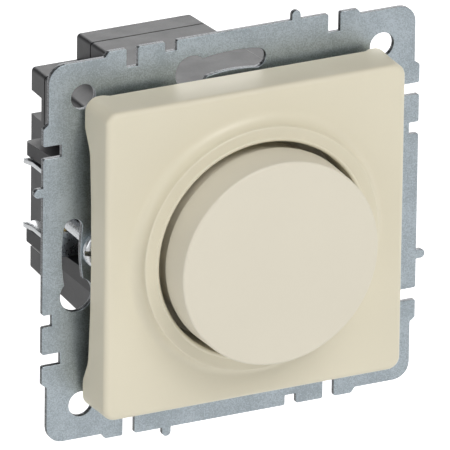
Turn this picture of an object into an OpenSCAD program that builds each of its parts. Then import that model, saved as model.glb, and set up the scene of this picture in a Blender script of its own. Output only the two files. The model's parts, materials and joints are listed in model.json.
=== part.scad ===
// Flush-mounted rotary push dimmer: support plate, cover, knob, claws and the works in a box.
// Row frame: +X to the right, +Y into the wall, +Z up. The origin is the centre of the
// support plate's rear face. Modules are drawn lying down (x right, y up, z towards the
// user) and facing() stands them up.

/* [Support plate] */
// Width and height over the plate's straight edges
plate_w = 70.6; // [70.2:0.1:71]
// Sheet thickness
plate_t = 1.0; // [0.8:0.1:1.2]
// Radius of the circle that carries the four keyhole slots
box_screw_r = 30; // [29.8:0.1:30.2]
// Half the width of a keyhole slot
slot_r = 1.73; // [1.6:0.01:1.8]
// Radius of the round end of a keyhole
keyhole_r = 3.05; // [2.9:0.05:3.15]
// Distance of the corner holes from the plate's centre lines
corner_hole_at = 28; // [27.8:0.1:28.2]
// Radius of a corner hole
corner_hole_r = 2.25; // [2:0.05:2.4]

/* [Cover] */
// Width and height of the cover's front
cover_w = 56; // [55.6:0.1:56.4]
// Height of the cover's front face over the plate's rear face
cover_z = 10.25; // [10:0.05:10.5]
// Inner radius of the collar around the knob
collar_r = 19.3; // [19.2:0.05:19.5]
// Height of the collar's rim
collar_z = 13.0; // [12.8:0.1:13.2]

/* [Knob and shaft] */
// Outer radius of the knob
knob_r = 18.45; // [18.2:0.05:18.6]
// Height of the knob's face
knob_z = 19.85; // [19.4:0.05:20.4]
// Radius of the shaft
shaft_r = 2.0; // [2:0.05:2.05]
// Radial clearance of a running fit
running_gap = 0.05; // [0.03:0.01:0.08]
// Travel of the knob when it is pushed
push_travel = 1.5; // [1.2:0.1:1.5]

/* [Housing] */
// Depth of the housing behind the plate
housing_depth = 35.5; // [35:0.1:36]
// Depth of the rear lid
lid_depth = 5.5; // [5.2:0.1:5.8]
// Wall thickness of the housing
housing_wall = 1.4; // [1.2:0.1:1.5]

/* [Claws] */
// Distance of a claw screw from the centre line
claw_x = 24.3; // [24.2:0.05:24.4]
// Radius of a claw screw's head
claw_head_r = 3.7; // [3.5:0.1:3.7]
// Thickness of the claw's sheet
claw_t = 0.8; // [0.6:0.1:0.9]

/* [Hidden] */
$fn = 64;
eps = 0.01;
side_angles = [0, 90, 180, 270];

// Plate: the sides stand out between the two steps
half_w = plate_w / 2;
corner_v = half_w - 0.95;
corner_round = 3;
step_at = [23.3, 24.0];
tab_at = 11.75;
tab_r = 0.8;
tab_out = 1.65;
cut_round = 0.35;

// Edge notches of one side: [first, last, bottom]
notches = [[-20, -17.85, 31.9], [17.8, 20.05, 31.9], [-12.8, -10.65, 33.5]];

// Cover: its left and right rims are arched to this outline, as [along, height]
rim_arch = [[-23.5, 1.8], [-19.2, 4.0], [-10, 4.6], [0, 4.8], [10, 4.6], [19.2, 4.0],
  [23.2, 1.8]];
cover_wall = 1.7;
cover_flare = 0.2;
cover_edge = 0.9;
cover_foot_r = 24.0;
rim_z = [1.8, 2.65];

// Knob: a flat ring around a slightly domed face
knob_crown = 0.55;
knob_crown_r = 15.6;

// Housing half sizes at the plate and at the back
front_hx = 21.0;
back_hx = 20.15;
front_hy = 19.6;
back_hy = 18.6;
block_front = [-11.8, 11.2, 25.2];
block_back = [-11.65, 10.15, 23.3];
block_root = 12;
housing_edge_r = 0.7;
seam = 0.3;
split_z = lid_depth - housing_depth;
corner_post = [16.5, 15.6];
post_r = 2.2;
post_bore_r = 1.0;
screw_hole_r = 1.4;

// Corner notches of the lid, where wires bend round to the side
notch_y = [10.1, 14.4];
notch_x = 17.4;
notch_z = -31.4;

// Ribs beside each claw: they get flatter and thicker towards the plate
rib_y = [6.7, 9.1];
rib_x = 25.35;
rib_z = -27.05;
rib_draft = [1.5, 1.2];

// Bush and potentiometer
bush_r = 5.0;
bush_flange_r = 7.0;
bush_flange_t = 1.5;
bush_top = 8.5;
floor_z = [3.5, 5.0];
washer_t = 0.5;
nut_flats = 14;
nut_t = 2.5;
pot_r = 8.5;
pot_bottom = -8.7;
track_z = -8.6;
board_tab_y = -12;
pin_pitch = 2.54;
pin_w = 0.7;
pot_pin_y = -10.8;
shaft_top = 17.8;
shaft_bottom = -10.6;
flat_y = 1.5;
knob_flat_z = 9.2;
rotor_flat_z = -2.6;

// Push switch under the potentiometer
switch_top = -9.5;
switch_bottom = -18.9;
switch_hx = 8.0;
switch_hy = 6.5;
switch_wall = 1.0;
slider_plate_z = [-13.9, -12.4];
bridge_t = 0.3;
tip_l = 0.7;
pad_top = slider_plate_z[0] - tip_l - push_travel - 0.1;
pad_z = [pad_top - 0.3, pad_top];
contact_pin_x = 6.5;
spring_z = [-17.9, -14.25];
spring_r = 1.9;
spring_wire_r = 0.18;
spring_turns = 4;

// Circuit board and what stands on it
board_z = [-21.6, -20.0];
board_hx = 18.2;
board_hy = 16.6;
pin_end = -22.2;
triac_leg_y = 9.5;
triac_body_y = [10.3, 18.3];
triac_tab_y = 23.6;
triac_hole_y = 20.8;
triac_screw_r = 1.5;
triac_hole_r = 1.6;
triac_hx = 5;
triac_pad_t = 0.5;
triac_tab_t = 1.3;
choke_mid_z = -27.2;
trimmer_at = [8.3, -13.5, 0];
trimmer_r = 1.9;
fuse_x = 14.8;
fuse_z = -25.0;
fuse_y = [-16.4, 3.6];
fuse_r = 2.6;
fuse_cap_l = 5;

// Terminals: each is [side, height]; the fourth corner is taken by the fuse
terminal_sites = [[-1, 1], [-1, -1], [1, 1]];
terminal_y = 11.8;
terminal_z = -25;
terminal_screw_r = 1.5;
terminal_head_r = 2.0;
wire_hole_r = 1.7;
wire_hole_x = 10.3;
driver_hole_r = 2.3;

// Claws
claw_screw_r = 1.5;
claw_screw_tip = -19.2;
screw_gap = 0.3;
claw_arm_y = 6.3;
claw_web_z = [-12.0, -11.2];
claw_end_z = -26.3;
barrel_z = -14.55;
barrel_r = 2.4;
trunnion_r = 1.2;

// Stands a part up: its z turns towards the user
module facing() { rotate([90, 0, 0]) children(); }

// A flat outline between two heights
module slab(low, high) { translate([0, 0, low]) linear_extrude(high - low) children(); }

// A box from its lowest to its highest corner
module block(low, high) { translate(low) cube(high - low); }

// A round rod between two heights
module rod(r, low, high) { translate([0, 0, low]) cylinder(r = r, h = high - low); }

// A round tube between two heights
module tube(r_out, r_in, low, high) {
  difference() {
    rod(r_out, low, high);
    rod(r_in, low - 1, high + 1);
  }
}

module rounded_rect(w, h, r) {
  square([w - 2 * r, h], center = true);
  square([w, h - 2 * r], center = true);
  for (sx = [-1, 1], sy = [-1, 1])
    translate([sx * (w / 2 - r), sy * (h / 2 - r)]) circle(r);
}

module four_corners(at) {
  for (sx = [-1, 1], sy = [-1, 1]) translate([sx * at[0], sy * at[1], 0]) children();
}

module mirrored_corners() {
  for (s = [0, 1], t = [0, 1]) mirror([s, 0, 0]) mirror([0, t, 0]) children();
}

// One side of the plate's outline, as [along, outwards]; it is repeated on four sides
function side_outline() = [[-corner_v + corner_round, corner_v], [-step_at[1], corner_v],
  [-step_at[0], half_w], [step_at[0], half_w], [step_at[1], corner_v],
  [corner_v - corner_round, corner_v]];
function turned(p, a) = [p[0] * cos(a) + p[1] * sin(a), p[1] * cos(a) - p[0] * sin(a)];

module plate_outline() {
  polygon([for (a = side_angles, p = side_outline()) turned(p, a)]);
  for (sx = [-1, 1], sy = [-1, 1])
    translate([sx, sy] * (corner_v - corner_round)) circle(corner_round);
}

module edge_notch(n) { translate([n[0], n[2]]) square([n[1] - n[0], half_w]); }

module edge_tab() {
  translate([tab_at - tab_r, corner_v]) square([2 * tab_r, half_w + tab_out - tab_r - corner_v]);
  translate([tab_at, half_w + tab_out - tab_r]) circle(tab_r);
}

// Plate with its notches and tabs, all corners broken as a stamping tool leaves them
module sheet_outline() {
  offset(r = cut_round, $fn = 24) offset(delta = -2 * cut_round) offset(r = cut_round, $fn = 24)
    difference() {
      union() {
        plate_outline();
        for (a = side_angles) rotate(-a) edge_tab();
      }
      for (a = side_angles, n = notches) rotate(-a) edge_notch(n);
    }
}

// Keyhole on the screw circle: the round end lies 15 degrees back from the slot
module keyhole() {
  back = 15.1;
  ahead = 8.35;
  rotate(back) translate([0, box_screw_r, 0]) rod(keyhole_r, -1, plate_t + 1);
  rotate(-ahead) translate([0, box_screw_r, 0]) rod(slot_r, -1, plate_t + 1);
  rotate(90 - ahead) rotate_extrude(angle = ahead + back, $fn = 128)
    translate([box_screw_r - slot_r, -1]) square([2 * slot_r, plate_t + 2]);
}

module support_plate() {
  color([0.72, 0.75, 0.77]) facing() difference() {
    slab(0, plate_t) sheet_outline();
    for (a = side_angles) rotate(-a) keyhole();
    four_corners([corner_hole_at, corner_hole_at]) rod(corner_hole_r, -1, plate_t + 1);
    four_corners(corner_post) rod(screw_hole_r, -1, plate_t + 1);
    for (s = [-1, 1])
      translate([s * claw_x, 0, 0]) rod(claw_screw_r + screw_gap, -1, plate_t + 1);
    rod(bush_r + 0.1, -1, plate_t + 1);
    translate([0, triac_hole_y, 0]) rod(triac_hole_r, -1, plate_t + 1);
  }
}

// A rounded square slice of the cover, for the tapered shell
module cover_slice(half, r, z) {
  slab(z, z + eps) rounded_rect(2 * half, 2 * half, r, $fn = 32);
}

module cover_shell() {
  half = cover_w / 2;
  wall = cover_wall;
  difference() {
    hull() {
      cover_slice(half + cover_flare, 2.4, 2);
      cover_slice(half, 2.2, cover_z - cover_edge);
      cover_slice(half - 0.3 * cover_edge, 2.0, cover_z - 0.3 * cover_edge);
      cover_slice(half - cover_edge, 1.6, cover_z - eps);
    }
    hull() {
      cover_slice(half + cover_flare - wall, 1.2, 1.9);
      cover_slice(half - wall, 1.2, cover_z - wall);
    }
    rod(cover_foot_r, 0, collar_z);
    // Raised rims, so that a frame and the claw screws fit under the cover
    rotate([90, 0, 90]) translate([0, 0, -half - 2]) linear_extrude(2 * half + 4)
      polygon(rim_arch);
    block([-cover_foot_r, -half - 2, rim_z[0]], [cover_foot_r, half + 2, rim_z[1]]);
  }
}

// Collar, well and seat on the plate, turned in one profile: a cove, a rounded shoulder,
// a land and the lip around the knob
module cover_well() {
  foot = [cover_foot_r, cover_z];
  cove = [2.0, 2.3];
  shoulder = 0.3;
  lip = 0.4;
  land_r = foot[0] - cove[0] - shoulder;
  seat_r = 8.5;
  well_r = 20.8;
  under = cover_z - cover_wall;
  rotate_extrude($fn = 128) polygon(concat(
    [[bush_r + 0.15, plate_t], [seat_r, plate_t], [seat_r, floor_z[0]], [well_r, floor_z[0]],
      [well_r, under], [foot[0] + 0.6, under], [foot[0] + 0.6, foot[1]]],
    [for (a = [90:-10:0]) [foot[0] - cove[0] * cos(a), foot[1] + cove[1] * (1 - sin(a))]],
    [for (a = [22.5:22.5:90]) [land_r + shoulder * cos(a),
      foot[1] + cove[1] + shoulder * sin(a)]],
    [for (a = [40:20:180]) [collar_r + lip + lip * cos(a), collar_z - lip + lip * sin(a)]],
    [[collar_r, floor_z[1]], [bush_r + 0.15, floor_z[1]]]));
}

module cover() {
  color([0.88, 0.86, 0.78]) facing() {
    cover_shell();
    cover_well();
  }
}

module knob() {
  skirt_z = 13.4;
  skirt_r = 17.6;
  bottom = 8.5;
  wall = 1.6;
  boss_r = 4.3;
  boss_bottom = 10.7;
  edge_r = 0.4;
  inner_r = knob_r - 0.15 - wall;
  ceiling = knob_z - wall;
  color([0.87, 0.85, 0.78]) facing() difference() {
    union() {
      rotate_extrude($fn = 128) polygon(concat(
        [[skirt_r - wall, bottom], [skirt_r, bottom], [skirt_r, skirt_z], [knob_r, skirt_z]],
        [for (a = [0:15:90]) [knob_r - 0.15 - edge_r + edge_r * cos(a),
          knob_z - edge_r + edge_r * sin(a)]],
        [for (s = [1:-0.125:0]) [knob_crown_r * s, knob_z + knob_crown * (1 - s * s)]],
        [[0, ceiling], [inner_r - 0.8, ceiling],
          [skirt_r - wall, ceiling - 1]]));
      rod(boss_r, boss_bottom, ceiling + eps);
      for (a = [0:60:300]) rotate(a)
        block([boss_r - 0.5, -0.6, 14.5], [skirt_r - wall + 0.2, 0.6, ceiling + eps]);
    }
    difference() {
      rod(shaft_r + eps, boss_bottom - 1, shaft_top);
      block([-3, flat_y + eps, boss_bottom - 2], [3, 3, shaft_top + 1]);
    }
  }
}

// Open spring ring that squeezes the knob's boss on the shaft
module knob_ring() {
  color([0.75, 0.76, 0.78]) facing() translate([0, 0, 11.5]) rotate(30)
    rotate_extrude(angle = 300) translate([4.3, 0]) square([0.5, 2]);
}

module shaft() {
  color([0.7, 0.7, 0.72]) facing() difference() {
    rod(shaft_r, shaft_bottom, shaft_top);
    block([-3, flat_y, knob_flat_z], [3, 3, shaft_top + 1]);
    block([-3, flat_y, shaft_bottom - 1], [3, 3, rotor_flat_z]);
  }
}

module shaft_circlip() {
  color([0.35, 0.35, 0.37]) facing() translate([0, 0, -2.1]) rotate(-60)
    rotate_extrude(angle = 300) translate([shaft_r, 0]) square([1.5, 0.5]);
}

module bush() {
  color([0.8, 0.68, 0.4]) facing() difference() {
    union() {
      rod(bush_flange_r, -bush_flange_t, 0);
      rod(bush_r, -bush_flange_t, bush_top);
    }
    rod(shaft_r + running_gap, -bush_flange_t - 1, bush_top + 1);
  }
}

module bush_washer() {
  color([0.75, 0.76, 0.78]) facing()
    tube(7.5, bush_r + 0.1, floor_z[1], floor_z[1] + washer_t);
}

module bush_nut() {
  low = floor_z[1] + washer_t;
  color([0.8, 0.68, 0.4]) facing() difference() {
    slab(low, low + nut_t) circle(d = nut_flats / cos(30), $fn = 6);
    rod(bush_r, low - 1, low + nut_t + 1);
  }
}

module pot_case() {
  wall = 0.9;
  shoulder_z = -4.4;
  color([0.16, 0.16, 0.17]) facing() {
    difference() {
      rod(pot_r, pot_bottom, -bush_flange_t);
      rod(pot_r - wall, pot_bottom - 1, -bush_flange_t - 1);
      rod(3.9, pot_bottom - 1, 1);
    }
    tube(pot_r - wall / 2, 5.6, shoulder_z, -bush_flange_t - 0.9);
    // Stop that ends the knob's turn on either side
    rotate(-90 - 34) rotate_extrude(angle = 68) translate([6.7, pot_bottom + 0.2])
      square([pot_r - wall / 2 - 6.7, shoulder_z - pot_bottom]);
  }
}

module pot_rotor() {
  color([0.85, 0.84, 0.8]) facing() difference() {
    union() {
      rod(6.4, -6.8, -4.6);
      rod(3.1, -8.5, -6.8);
      rotate(90 - 10) rotate_extrude(angle = 20) translate([6.2, -6.8]) square([1.0, 2.2]);
    }
    difference() {
      rod(shaft_r + running_gap, -10, -4);
      block([-3, flat_y + running_gap, -11], [3, 3, -3]);
    }
  }
}

// Wiper plate under the rotor, with one finger on the track and one on the collector
module wiper() {
  finger_r = 0.45;
  color([0.85, 0.7, 0.4]) facing() rotate(90) {
    rotate(-35) rotate_extrude(angle = 70) translate([3.3, -7.1]) square([2.9, 0.3]);
    for (r = [3.85, 5.5]) translate([r, 0, 0]) rod(finger_r, track_z + 0.15, -7.0);
  }
}

module track_board() {
  color([0.55, 0.36, 0.2]) facing() difference() {
    union() {
      rod(pot_r, switch_top, pot_bottom);
      block([-4.5, board_tab_y, switch_top], [4.5, 0, pot_bottom]);
    }
    rod(2.6, switch_top - 1, 0);
    pot_pin_sites() translate([0, 0, -15]) linear_extrude(20) square(pin_w, center = true);
  }
}

// Printed ring from radius r_in to r_out, open by gap degrees at the bottom
module printed_ring(r_in, r_out, gap) {
  rotate(-90 + gap / 2) rotate_extrude(angle = 360 - gap)
    translate([r_in, pot_bottom]) square([r_out - r_in, track_z - pot_bottom]);
}

module resistive_track() { color([0.08, 0.08, 0.08]) facing() printed_ring(4.8, 6.3, 60); }

module collector_ring() { color([0.8, 0.8, 0.82]) facing() printed_ring(3.4, 4.3, 30); }

module pot_pin_sites() {
  for (i = [-1:1]) translate([i * pin_pitch, pot_pin_y, 0]) children();
}

module pot_pins() {
  color([0.78, 0.78, 0.8]) facing() pot_pin_sites()
    slab(pin_end, pot_bottom) square(pin_w, center = true);
}

module switch_case() {
  inner = [switch_hx - switch_wall, switch_hy - switch_wall];
  color([0.2, 0.2, 0.21]) facing() difference() {
    block([-switch_hx, -switch_hy, switch_bottom], [switch_hx, switch_hy, switch_top]);
    block([-inner[0], -inner[1], switch_bottom + switch_wall],
      [inner[0], inner[1], switch_top - switch_wall]);
    rod(shaft_r + 0.4, switch_top - 2, 0);
    for (s = [-1, 1]) translate([s * contact_pin_x, 0, switch_bottom - 1])
      linear_extrude(3) square(pin_w, center = true);
  }
}

module switch_slider() {
  color([0.85, 0.3, 0.2]) facing() {
    rod(1.8, slider_plate_z[1], shaft_bottom - 0.15);
    block([-3, -5.3, slider_plate_z[0]], [3, 5.3, slider_plate_z[1]]);
  }
}

module contact_bridge() {
  top = slider_plate_z[0];
  color([0.85, 0.6, 0.35]) facing() {
    block([-5.8, -1.2, top - bridge_t], [5.8, 1.2, top]);
    for (s = [-1, 1]) translate([5 * s, 0, 0]) rod(0.7, top - tip_l, top - bridge_t);
  }
}

module fixed_contacts() {
  color([0.85, 0.7, 0.4]) facing() for (s = [0, 1]) mirror([s, 0, 0]) {
    block([4.2, -1.5, pad_z[0]], [7.0, 1.5, pad_z[1]]);
    translate([contact_pin_x, 0, 0]) slab(pin_end, pad_z[0]) square(pin_w, center = true);
  }
}

// Helix swept by a round wire
module helix(r, wire_r, low, high, turns) {
  sides = 8;
  steps = 16 * turns;
  rise = high - low - 2 * wire_r;
  ring = function(i, k) let (a = 360 * turns * i / steps, b = 360 * k / sides)
    [(r + wire_r * cos(b)) * cos(a), (r + wire_r * cos(b)) * sin(a),
      low + wire_r + rise * i / steps + wire_r * sin(b)];
  polyhedron(
    [for (i = [0:steps], k = [0:sides - 1]) ring(i, k)],
    concat(
      [for (i = [0:steps - 1], k = [0:sides - 1]) let (n = (k + 1) % sides)
        [i * sides + k, i * sides + n, (i + 1) * sides + n, (i + 1) * sides + k]],
      [[for (k = [sides - 1:-1:0]) k], [for (k = [0:sides - 1]) steps * sides + k]]));
}

module return_spring() {
  color([0.7, 0.71, 0.73]) facing()
    helix(spring_r, spring_wire_r, spring_z[0], spring_z[1], spring_turns);
}

module board_outline() {
  square([2 * board_hx, 2 * board_hy], center = true);
  translate([-9.6, 0]) square([18.5, 21.4]);
}

module triac_leg_sites() {
  for (i = [-1:1]) translate([i * pin_pitch, triac_leg_y, 0]) children();
}

module tongue_sites() {
  for (t = terminal_sites) translate([t[0] * 12.1, t[1] * terminal_y, 0]) children();
}

module circuit_board() {
  color([0.55, 0.5, 0.28]) facing() difference() {
    slab(board_z[0], board_z[1]) board_outline();
    for (s = [-1, 1])
      translate([s * corner_post[0], s * corner_post[1], 0]) rod(1.2, -30, 0);
    slab(-30, -10) {
      pot_pin_sites() square(pin_w, center = true);
      triac_leg_sites() square(pin_w, center = true);
      tongue_sites() square([0.8, 3.2], center = true);
      for (s = [-1, 1]) translate([s * contact_pin_x, 0]) square(pin_w, center = true);
    }
  }
}

module board_screws() {
  head_z = board_z[0] - 1.1;
  color([0.75, 0.76, 0.78]) facing() for (s = [-1, 1])
    translate([s * corner_post[0], s * corner_post[1], 0]) difference() {
      union() {
        rod(1.5, head_z, board_z[0]);
        rod(post_bore_r, board_z[0], board_z[1] + 6);
      }
      block([-2, -0.2, head_z - 1], [2, 0.2, head_z + 0.5]);
    }
}

module triac() {
  body_top = -triac_pad_t - triac_tab_t;
  color([0.12, 0.12, 0.13]) facing() {
    block([-triac_hx, triac_body_y[0], body_top - 3.1],
      [triac_hx, triac_body_y[1], body_top]);
    difference() {
      block([-triac_hx, triac_body_y[0], body_top], [triac_hx, triac_tab_y, -triac_pad_t]);
      translate([0, triac_hole_y, 0]) rod(triac_hole_r, -5, 1);
    }
    triac_leg_sites() {
      slab(pin_end, -3.0) square(pin_w, center = true);
      block([-pin_w / 2, -pin_w / 2, -3.6], [pin_w / 2, 1, -3.0]);
    }
  }
}

module triac_pad() {
  color([0.85, 0.85, 0.8]) facing() difference() {
    block([-5.3, triac_body_y[0] - 0.3, -triac_pad_t], [5.3, triac_tab_y, 0]);
    translate([0, triac_hole_y, 0]) rod(triac_hole_r, -2, 1);
  }
}

module triac_screw() {
  color([0.75, 0.76, 0.78]) facing() translate([0, triac_hole_y, 0]) difference() {
    union() {
      rod(2.7, plate_t, plate_t + 1.6);
      rod(triac_screw_r, -5.2, plate_t);
    }
    block([-3, -0.35, plate_t + 0.9], [3, 0.35, plate_t + 2]);
  }
}

module triac_nut() {
  top = -triac_pad_t - triac_tab_t;
  color([0.75, 0.76, 0.78]) facing() translate([0, triac_hole_y, 0]) difference() {
    slab(top - 2.2, top) circle(d = 5.0 / cos(30), $fn = 6);
    rod(triac_screw_r, top - 3, top + 1);
  }
}

module choke_core() {
  color([0.85, 0.8, 0.25]) facing() tube(7.6, 4.4, choke_mid_z - 3, choke_mid_z + 3);
}

module choke_winding() {
  color([0.72, 0.35, 0.15]) facing() difference() {
    tube(8.6, 3.4, choke_mid_z - 4, choke_mid_z + 4);
    tube(7.6, 4.4, choke_mid_z - 3, choke_mid_z + 3);
  }
}

module interference_capacitor() {
  color([0.85, 0.65, 0.2]) facing() block([-8.6, 15.4, -32.8], [7.8, 20.4, board_z[0]]);
}

module timing_capacitor() {
  color([0.7, 0.15, 0.1]) facing() block([-12.8, -16.5, -27.8], [-6.0, -14.4, board_z[0]]);
}

module resistors() {
  color([0.8, 0.7, 0.5]) facing() for (y = [-11.8, -14.9]) {
    translate([0, y, -23.0]) rotate([0, 90, 0]) rod(1.15, -3.2, 3.2);
    for (s = [0, 1]) mirror([s, 0, 0]) {
      translate([0, y, -23.0]) rotate([0, 90, 0]) rod(0.3, 3.2, 4.4);
      translate([4.1, y, 0]) rod(0.3, -23.0, board_z[0]);
    }
  }
}

module trimmer() {
  color([0.2, 0.4, 0.75]) facing() difference() {
    block([5.6, -16.2, -25.6], [11.0, -10.8, board_z[0]]);
    translate(trimmer_at) rod(trimmer_r, -27, -24.0);
  }
}

module trimmer_rotor() {
  color([0.85, 0.85, 0.84]) facing() difference() {
    translate(trimmer_at) rod(trimmer_r - running_gap, -25.8, -24.1);
    translate(trimmer_at) block([-1.4, -0.25, -27], [1.4, 0.25, -25.1]);
  }
}

module along_fuse() { translate([fuse_x, 0, fuse_z]) rotate([-90, 0, 0]) children(); }

module fuse_tube() {
  color([0.8, 0.85, 0.88, 0.5]) facing() along_fuse()
    tube(2.3, 1.7, fuse_y[0] + 0.4, fuse_y[1] - 0.4);
}

module fuse_caps() {
  color([0.78, 0.79, 0.8]) facing() along_fuse() for (m = [0, 1])
    translate([0, 0, (fuse_y[0] + fuse_y[1]) / 2]) mirror([0, 0, m]) difference() {
      rod(fuse_r, 10 - fuse_cap_l, 10);
      rod(2.3, 0, 9.6);
    }
}

module fuse_clips() {
  color([0.8, 0.68, 0.4]) facing()
    for (y = [fuse_y[0] + 0.6, fuse_y[1] - 4.4]) {
      block([fuse_x - 3, y, -22.0], [fuse_x + 3, y + 3.8, board_z[0]]);
      for (s = [-1, 1]) translate([fuse_x + s * 2.8, y, -27.4])
        translate([-0.2, 0, 0]) cube([0.4, 3.8, 5.6]);
    }
}

// Fixed tongues that carry the current from the board into the terminals
module terminal_tongues() {
  color([0.85, 0.7, 0.4]) facing() tongue_sites()
    slab(-28.6, board_z[1]) square([0.8, 3.2], center = true);
}

// Puts a left-hand upper terminal in its corner
module at_terminal(i) {
  t = terminal_sites[i];
  mirror([t[0] > 0 ? 1 : 0, 0, 0]) translate([0, t[1] * terminal_y, terminal_z]) children();
}

// Cage that a screw draws outwards to clamp the wire on the tongue
module terminal_cage(i) {
  color([0.85, 0.7, 0.4]) facing() at_terminal(i) difference() {
    block([-14.8, -2.2, -2.7], [-7.6, 2.2, 2.7]);
    block([-13.6, -1.8, -3], [-8.6, 1.8, 3]);
    rotate([0, 90, 0]) rod(terminal_screw_r + running_gap, -16, -13);
  }
}

module terminal_screw(i) {
  color([0.75, 0.76, 0.78]) facing() at_terminal(i) rotate([0, 90, 0]) difference() {
    union() {
      rod(terminal_head_r, -18.6, -16.9);
      rod(terminal_screw_r, -16.9, -12.6);
    }
    block([-0.3, -2.5, -19], [0.3, 2.5, -17.8]);
  }
}

module terminal_cage_1() { terminal_cage(0); }
module terminal_cage_2() { terminal_cage(1); }
module terminal_cage_3() { terminal_cage(2); }
module terminal_screw_1() { terminal_screw(0); }
module terminal_screw_2() { terminal_screw(1); }
module terminal_screw_3() { terminal_screw(2); }

// How far back a height is, from 0 at the plate to 1 at the back
function depth_share(z) = -z / housing_depth;
function mixed(a, b, s) = a + (b - a) * s;

// Outlines of the housing's two blocks at a height, drawn in by inset
module main_slice(z, inset, t = eps) {
  s = depth_share(z);
  w = 2 * (mixed(front_hx, back_hx, s) - inset);
  h = 2 * (mixed(front_hy, back_hy, s) - inset);
  slab(z, z + t) rounded_rect(w, h, housing_edge_r, $fn = 24);
}

module block_slice(z, inset, t = eps) {
  s = depth_share(z);
  left = mixed(block_front[0], block_back[0], s) + inset;
  right = mixed(block_front[1], block_back[1], s) - inset;
  top = mixed(block_front[2], block_back[2], s) - inset;
  slab(z, z + t) translate([(left + right) / 2, top - block_root / 2])
    rounded_rect(right - left, block_root, housing_edge_r, $fn = 24);
}

// Both blocks with straight sides
module housing_prism(low, high, inset) {
  main_slice(low, inset, high - low);
  block_slice(low, inset, high - low);
}

// Both blocks with their taper
module housing_form(low, high, inset) {
  hull() {
    main_slice(low, inset);
    main_slice(high - eps, inset);
  }
  hull() {
    block_slice(low, inset);
    block_slice(high - eps, inset);
  }
}

// Left-hand upper rib: its side view cut to its top view
module claw_rib() {
  root = -front_hx + 1.2;
  intersection() {
    translate([root, 0, 0]) rotate([0, -90, 0]) linear_extrude(rib_x + root)
      polygon([[rib_z, rib_y[0]], [0, rib_y[0]], [0, rib_y[1] + rib_draft[1]],
        [rib_z, rib_y[1]]]);
    translate([0, rib_y[0] - 1, 0]) rotate([-90, 0, 0]) linear_extrude(10)
      polygon([[root, 0], [rib_draft[0] - rib_x, 0], [-rib_x, -rib_z], [root, -rib_z]]);
  }
}

module claw_ribs() { mirrored_corners() claw_rib(); }

module housing_body() {
  color([0.2, 0.2, 0.21]) facing() difference() {
    union() {
      difference() {
        union() {
          housing_form(split_z, 0, 0);
          claw_ribs();
        }
        housing_form(split_z - 1, -housing_wall, housing_wall);
      }
      four_corners(corner_post) rod(post_r, board_z[1], -0.5);
    }
    four_corners(corner_post) {
      rod(screw_hole_r, -housing_wall, 1);
      rod(post_bore_r, board_z[1] - 1, 1);
    }
    rod(bush_flange_r + 0.1, -3, 1);
    block([-5.5, triac_body_y[0] - 0.5, -3], [5.5, triac_tab_y + 0.1, 1]);
    for (t = terminal_sites)
      translate([0, t[1] * terminal_y, terminal_z]) rotate([0, 90 * t[0], 0])
        rod(driver_hole_r, 17, 24);
  }
}

module rear_lid() {
  plug = 1.2;
  inner_z = housing_wall - housing_depth;
  color([0.2, 0.2, 0.21]) facing() difference() {
    union() {
      difference() {
        union() {
          housing_form(-housing_depth, split_z - seam, 0);
          housing_prism(split_z - seam - eps, split_z, seam);
        }
        housing_form(inner_z, split_z + 1, housing_wall);
      }
      // Locating rim that enters the body
      difference() {
        housing_prism(inner_z, split_z + plug, housing_wall + 0.1);
        housing_prism(inner_z - 1, split_z + plug + 1, housing_wall + 0.9);
      }
      mirrored_corners() block([notch_x - 1.2, notch_y[0] - 1.2, -housing_depth],
        [notch_x + 1, notch_y[1] + 1.2, split_z]);
    }
    mirrored_corners()
      block([notch_x, notch_y[0], -housing_depth - 1], [back_hx + 3, notch_y[1], notch_z]);
    for (t = terminal_sites)
      translate([t[0] * wire_hole_x, t[1] * terminal_y, 0])
        rod(wire_hole_r, -housing_depth - 1, inner_z + 1);
  }
}

module housing_screws() {
  color([0.75, 0.76, 0.78]) facing() four_corners(corner_post) difference() {
    union() {
      rod(2.4, plate_t, plate_t + 1.2);
      rod(post_bore_r, -8, plate_t);
    }
    block([-2, -0.3, plate_t + 0.6], [2, 0.3, plate_t + 2]);
    block([-0.3, -2, plate_t + 0.6], [0.3, 2, plate_t + 2]);
  }
}

// Side view of a claw's arm, as [outwards, height], and the tooth at its end
module arm_outline() {
  polygon([[-22.4, claw_web_z[1]], [-25.4, claw_web_z[1]], [-25.4, claw_end_z + 2.4],
    [-26.0, claw_end_z + 0.4], [-26.0, claw_end_z], [-23.6, claw_end_z],
    [-22.4, claw_end_z + 1.6]]);
}

// Left claw: a web in front of the nut and two arms that swing on its trunnions
module claw() {
  color([0.74, 0.77, 0.78]) facing() {
    difference() {
      block([-26.0, -claw_arm_y, claw_web_z[0]], [-21.9, claw_arm_y, claw_web_z[1]]);
      hull() for (x = [-claw_x + 0.2, -claw_x - 4])
        translate([x, 0, 0]) rod(claw_screw_r + screw_gap, -13, -10);
    }
    for (s = [0, 1]) mirror([0, s, 0]) difference() {
      translate([0, claw_arm_y, 0]) rotate([90, 0, 0]) linear_extrude(claw_t) arm_outline();
      translate([-claw_x, 0, barrel_z]) rotate([-90, 0, 0]) rod(trunnion_r + running_gap, 0, 9);
    }
  }
}

// Barrel nut whose trunnions carry the claw
module claw_nut() {
  color([0.78, 0.68, 0.4]) facing() difference() {
    translate([-claw_x, 0, barrel_z]) rotate([-90, 0, 0]) {
      rod(barrel_r, -5.0, 5.0);
      rod(trunnion_r, -claw_arm_y, claw_arm_y);
    }
    translate([-claw_x, 0, 0]) rod(claw_screw_r + running_gap, -30, 0);
  }
}

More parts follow.
